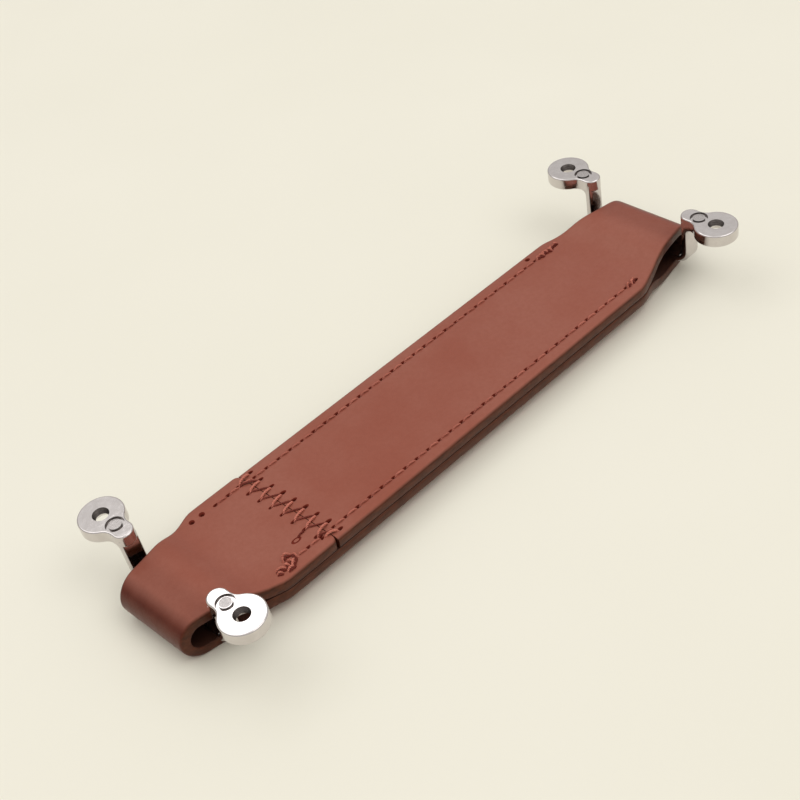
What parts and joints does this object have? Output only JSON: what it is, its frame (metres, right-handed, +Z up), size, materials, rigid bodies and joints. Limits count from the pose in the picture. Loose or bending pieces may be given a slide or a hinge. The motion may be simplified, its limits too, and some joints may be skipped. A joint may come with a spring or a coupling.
{
  "type": "leather cabinet pull",
  "caption": "Leather strap pull folded into a loop at each end, each loop holding a cast metal bracket with screw lugs; lies on its front face with the lugs up.",
  "frame": {"origin": "under the middle of the strap, on the surface that the two loops lie on", "axes": "+X along the strap towards the right bracket, +Y across the strap, +Z up from the front of the pull to its screw lugs"},
  "size_m": [0.155, 0.0522, 0.0161],
  "materials": {
    "leather": "smooth satin, dark painted edges",
    "thread": "waxed sewing thread",
    "polished_casting": "polished and plated zinc casting"
  },
  "bodies": {
    "strap": {"leather_strap": "leather", "edge_thread_near_back": "thread", "edge_thread_far_back": "thread", "edge_thread_near_front": "thread", "edge_thread_far_front": "thread", "seam_thread": "thread"},
    "left_bracket": {"bracket_left": "polished_casting"},
    "right_bracket": {"bracket_right": "polished_casting"}
  },
  "joints": [
    {"name": "left_bracket_swing", "type": "hinge", "parent": "strap", "child": "left_bracket", "pos_m": [-0.0689, 0, 0.00485], "axis": [0, 1, 0], "range_deg": [-228, 56]},
    {"name": "right_bracket_swing", "type": "hinge", "parent": "strap", "child": "right_bracket", "pos_m": [0.0719, 0, 0.00485], "axis": [0, -1, 0], "range_deg": [-234, 54]}
  ]
}
